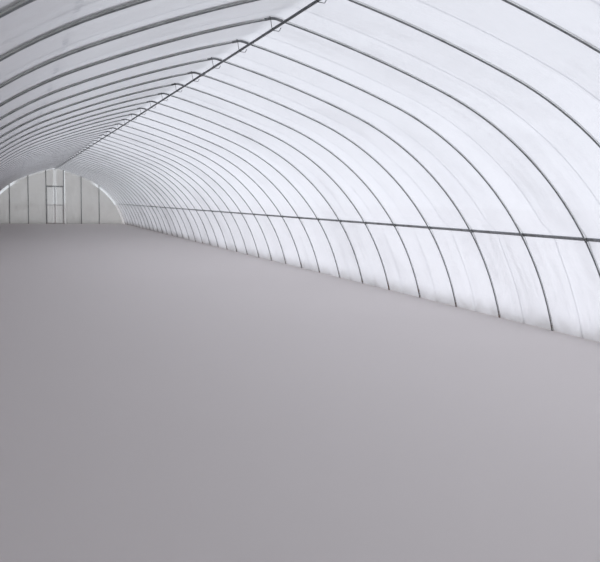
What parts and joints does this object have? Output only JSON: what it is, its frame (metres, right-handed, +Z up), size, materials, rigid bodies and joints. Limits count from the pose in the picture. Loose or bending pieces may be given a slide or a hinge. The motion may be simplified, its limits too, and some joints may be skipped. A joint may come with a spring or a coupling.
{
  "type": "polytunnel greenhouse, 1:2 scale model",
  "caption": "Long round-topped film tunnel on bent tube hoops with a ridge purlin, film channels, posted end walls and paired door leaves.",
  "frame": {"origin": "on the ground under the ridge, halfway along the tunnel", "axes": "+Z up, +Y along the tunnel to the far end, +X across it to the right"},
  "size_m": [3.8798, 25.1382, 1.568],
  "materials": {
    "cover_film": "cloudy polyethylene film",
    "end_film": "cloudy polyethylene film",
    "end_posts": "galvanised square tube",
    "film_rail": "galvanised rolled channel",
    "hoop_tube": "galvanised steel tube, dull",
    "leaf_film": "cloudy polyethylene film",
    "leaf_frame": "galvanised square tube",
    "purlin": "galvanised steel tube, dull",
    "sleeves": "galvanised pressed sleeve",
    "wire_and_hooks": "galvanised wire and bar"
  },
  "bodies": {
    "root": {"far_door_head": "end_posts", "far_door_posts": "end_posts", "far_film_left": "end_film", "far_film_over_door": "end_film", "far_film_right": "end_film", "far_hinge_hooks": "wire_and_hooks", "far_posts": "end_posts", "left_film_rail": "film_rail", "left_hoops_1": "hoop_tube", "left_hoops_2": "hoop_tube", "left_hoops_3": "hoop_tube", "left_hoops_4": "hoop_tube", "left_skirt_film": "cover_film", "near_door_head": "end_posts", "near_door_posts": "end_posts", "near_film_left": "end_film", "near_film_over_door": "end_film", "near_film_right": "end_film", "near_hinge_hooks": "wire_and_hooks", "near_left_leaf_film": "leaf_film", "near_left_leaf_frame": "leaf_frame", "near_posts": "end_posts", "near_right_leaf_film": "leaf_film", "near_right_leaf_frame": "leaf_frame", "purlin_sleeves": "sleeves", "ridge_hangers": "wire_and_hooks", "ridge_purlin": "purlin", "ridge_sleeves": "sleeves", "right_film_rail": "film_rail", "right_hoops_1": "hoop_tube", "right_hoops_2": "hoop_tube", "right_hoops_3": "hoop_tube", "right_hoops_4": "hoop_tube", "right_skirt_film": "cover_film", "roof_film": "cover_film"},
    "far_left_leaf": {"far_left_leaf_film": "leaf_film", "far_left_leaf_frame": "leaf_frame"},
    "far_right_leaf": {"far_right_leaf_film": "leaf_film", "far_right_leaf_frame": "leaf_frame"}
  },
  "joints": [
    {"name": "far_left_leaf_hinge", "type": "hinge", "parent": "root", "child": "far_left_leaf", "pos_m": [-0.229, 12.5628, 0.158], "axis": [0, 0, 1], "range_deg": [0, 170]},
    {"name": "far_right_leaf_hinge", "type": "hinge", "parent": "root", "child": "far_right_leaf", "pos_m": [0.229, 12.5628, 0.158], "axis": [0, 0, -1], "range_deg": [0, 170]}
  ]
}
